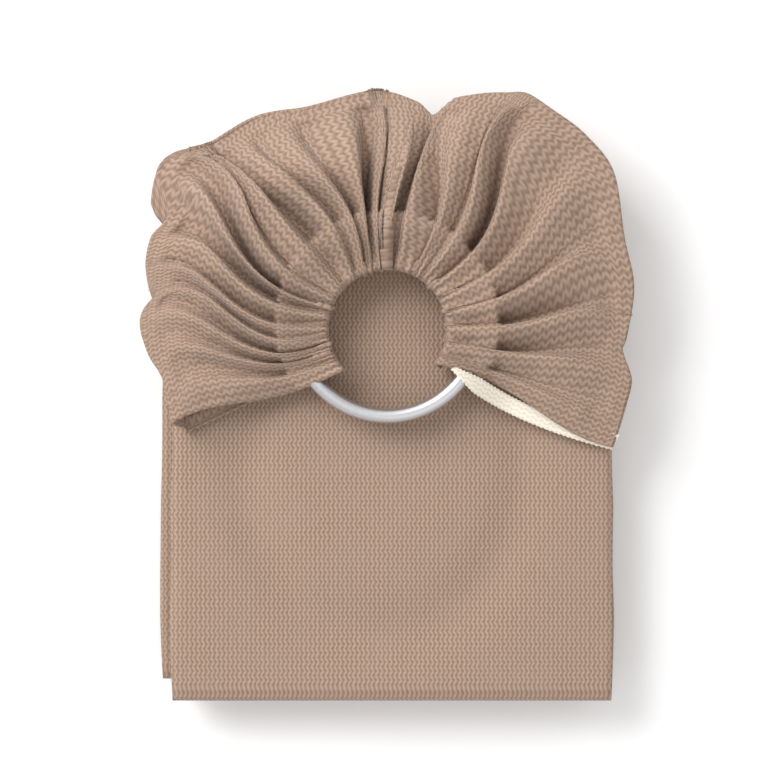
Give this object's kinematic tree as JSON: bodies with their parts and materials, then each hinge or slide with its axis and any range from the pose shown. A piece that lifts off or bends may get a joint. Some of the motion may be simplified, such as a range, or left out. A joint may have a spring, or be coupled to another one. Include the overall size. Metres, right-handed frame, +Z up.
{
  "type": "soft baby carrier",
  "caption": "Woven ring sling baby carrier folded flat into a packet, with its gathered shoulder fanned out round plain aluminium rings.",
  "frame": {"origin": "on the table under the middle of the whole folded sling", "axes": "+X to the right, +Y from the packet's front fold towards the gathered shoulder, +Z up"},
  "size_m": [0.222, 0.274, 0.0598],
  "materials": {
    "woven_cloth": "chunky two-tone tan weave, matt",
    "cream_selvage": "undyed cream selvage, matt",
    "ring_metal": "satin, without a seam",
    "sewing_thread": "polyester sewing thread"
  },
  "bodies": {
    "packet_base": {"base_fold": "woven_cloth", "second_fold": "woven_cloth", "tail_end": "woven_cloth", "tail_selvage": "cream_selvage", "tail_hem_stitches": "sewing_thread"},
    "packet_cover": {"third_fold": "woven_cloth", "cover_fold": "woven_cloth"},
    "shoulder": {"shoulder_lining": "woven_cloth", "shoulder_fan": "woven_cloth", "fan_selvage": "cream_selvage", "casing_stitches": "sewing_thread"},
    "rear_ring": {"rear_ring": "ring_metal"},
    "front_ring": {"front_ring": "ring_metal"}
  },
  "joints": [
    {"name": "packet_open", "type": "hinge", "parent": "packet_base", "child": "packet_cover", "pos_m": [0.101, 0, 0.01465], "axis": [0, 1, 0], "range_deg": [0, 90]},
    {"name": "shoulder_lift", "type": "hinge", "parent": "packet_cover", "child": "shoulder", "pos_m": [0, 0.116, 0.025], "axis": [-1, 0, 0], "range_deg": [0, 90]},
    {"name": "rear_ring_turn", "type": "hinge", "parent": "shoulder", "child": "rear_ring", "pos_m": [0, 0.032, 0.03235], "axis": [0, 0, 1], "continuous": true},
    {"name": "front_ring_tilt", "type": "hinge", "parent": "shoulder", "child": "front_ring", "pos_m": [0, 0.07325, 0.03915], "axis": [-1, 0, 0], "range_deg": [0, 10]}
  ]
}
